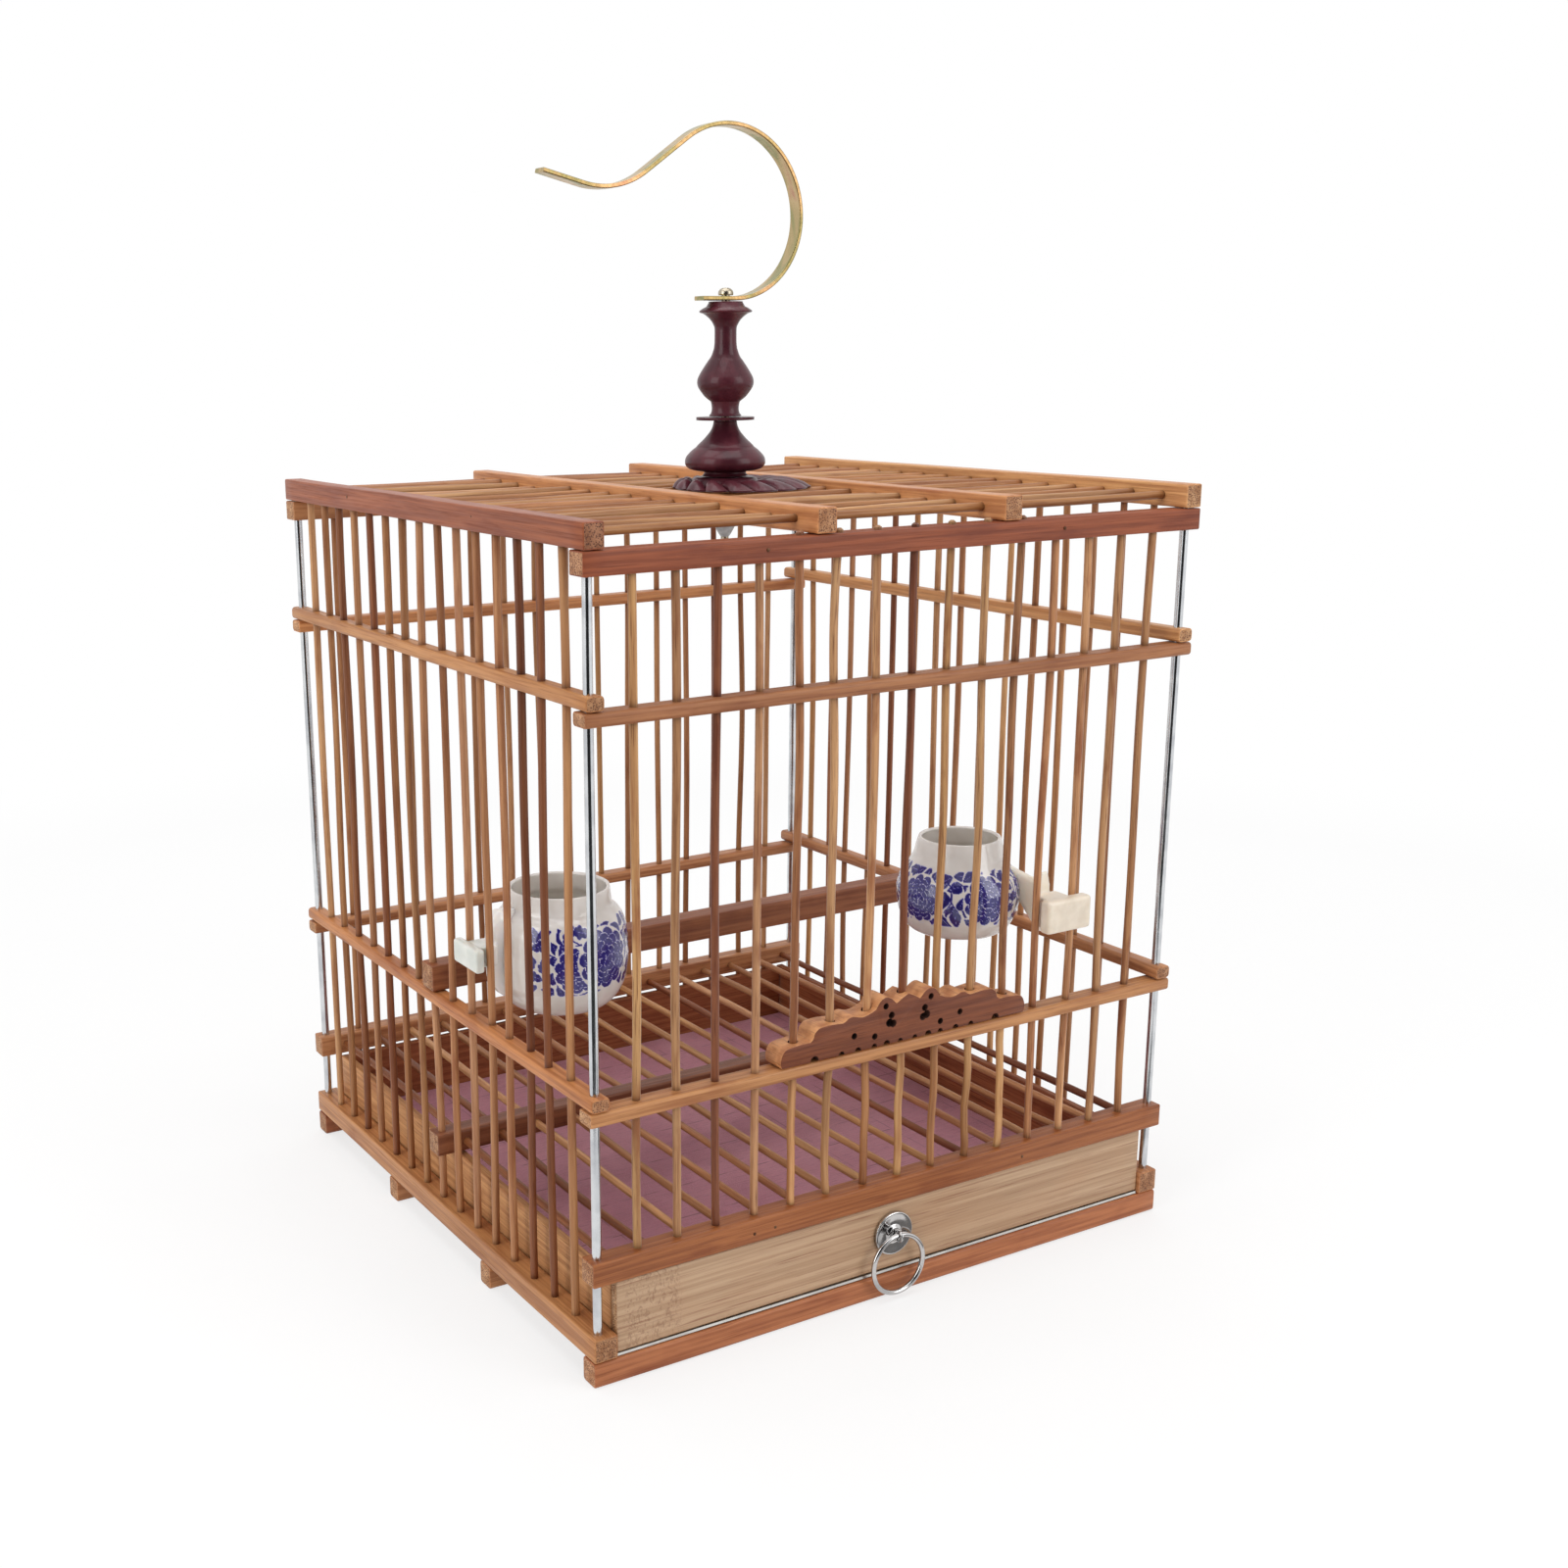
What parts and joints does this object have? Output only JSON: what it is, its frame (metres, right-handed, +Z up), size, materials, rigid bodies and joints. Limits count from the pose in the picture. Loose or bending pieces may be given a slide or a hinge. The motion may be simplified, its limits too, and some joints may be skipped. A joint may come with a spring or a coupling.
{
  "type": "wooden bird cage",
  "caption": "Small square hanging bird cage of thin wooden rods and rails, with a lift-up door, slide-out tray, perch, hanging cups and a swivelling hook on a turned finial.",
  "frame": {"origin": "middle of the whole cage's bounding box, on the surface that its runners stand on", "axes": "+Z up, -Y towards the side with the door and the tray's ring pull, +X to the right seen from that side"},
  "size_m": [0.2168, 0.2144, 0.3491],
  "materials": {
    "pale_wood": "satin varnish",
    "red_brown_wood": "satin varnish",
    "dark_wood": "satin varnish",
    "bamboo_rod": "satin varnish",
    "carved_wood": "satin varnish",
    "tray_wood": "smooth, nearly bare",
    "lacquered_wood": "glossy dark red lacquer",
    "mauve_liner": "matte",
    "steel": "bright drawn",
    "bright_metal": "polished",
    "zinc_plate": "yellow passivated plating",
    "white_china": "glossy glaze with blue flowers",
    "grey_plastic": "satin"
  },
  "bodies": {
    "cage": {"runner_front": "red_brown_wood", "runner_inner_front": "red_brown_wood", "runner_inner_back": "red_brown_wood", "runner_back": "red_brown_wood", "base_rail_left": "pale_wood", "base_rail_right": "pale_wood", "floor_rail_front": "red_brown_wood", "floor_rail_back": "pale_wood", "floor_grille": "dark_wood", "left_wall_grille": "pale_wood", "right_wall_grille": "pale_wood", "back_wall_grille": "pale_wood", "lower_ring_front": "pale_wood", "upper_ring_front": "pale_wood", "front_rod_1": "bamboo_rod", "front_rod_2": "bamboo_rod", "front_rod_3": "bamboo_rod", "front_rod_4": "bamboo_rod", "front_rod_5": "bamboo_rod", "front_rod_6": "bamboo_rod", "front_rod_7": "bamboo_rod", "front_rod_8": "bamboo_rod", "top_rail_front": "red_brown_wood", "top_rail_back": "pale_wood", "roof_rail_left": "red_brown_wood", "roof_rail_right": "red_brown_wood", "roof_grille": "pale_wood", "corner_rod_front_left": "steel", "corner_rod_front_right": "steel", "corner_rod_back_left": "steel", "corner_rod_back_right": "steel", "petal_plate": "lacquered_wood", "finial_base": "lacquered_wood", "finial_disc": "lacquered_wood", "finial_stem": "lacquered_wood", "roof_washer": "steel", "cone_nut": "grey_plastic", "centre_bolt": "steel"},
    "door": {"door_block": "carved_wood", "door_rod_1": "bamboo_rod", "door_rod_2": "bamboo_rod", "door_rod_3": "bamboo_rod", "door_rod_4": "bamboo_rod", "door_rod_5": "bamboo_rod", "door_rod_6": "bamboo_rod", "door_rod_7": "bamboo_rod"},
    "drawer": {"drawer_front": "pale_wood", "drawer_left": "tray_wood", "drawer_right": "tray_wood", "drawer_back": "tray_wood", "drawer_bottom": "steel", "drawer_liner": "mauve_liner", "pull_rosette": "bright_metal", "pull_eye": "bright_metal"},
    "pull_ring": {"pull_ring": "bright_metal"},
    "perch": {"perch": "dark_wood"},
    "hook": {"hook": "zinc_plate"},
    "food_cup": {"food_cup": "white_china"},
    "water_cup": {"water_cup": "white_china"}
  },
  "joints": [
    {"name": "door_lift", "type": "slide", "parent": "cage", "child": "door", "axis": [0, 0, 1], "range_m": [0, 0.09]},
    {"name": "drawer_pull", "type": "slide", "parent": "cage", "child": "drawer", "axis": [0, -1, 0], "range_m": [0, 0.185]},
    {"name": "pull_ring_swing", "type": "hinge", "parent": "drawer", "child": "pull_ring", "pos_m": [-0.00213, -0.10525, 0.0205], "axis": [1, 0, 0], "range_deg": [-180, 4]},
    {"name": "perch_lift", "type": "slide", "parent": "cage", "child": "perch", "axis": [0, 0, 1], "range_m": [0, 0.096]},
    {"name": "hook_turn", "type": "hinge", "parent": "cage", "child": "hook", "pos_m": [0.00337, 0.0002, 0.29605], "axis": [0, 0, 1], "continuous": true},
    {"name": "food_cup_slide", "type": "slide", "parent": "cage", "child": "food_cup", "axis": [0, 0, 1], "range_m": [-0.0162, 0.0808]},
    {"name": "water_cup_slide", "type": "slide", "parent": "cage", "child": "water_cup", "axis": [0, 0, 1], "range_m": [-0.0238, 0.0701]}
  ]
}
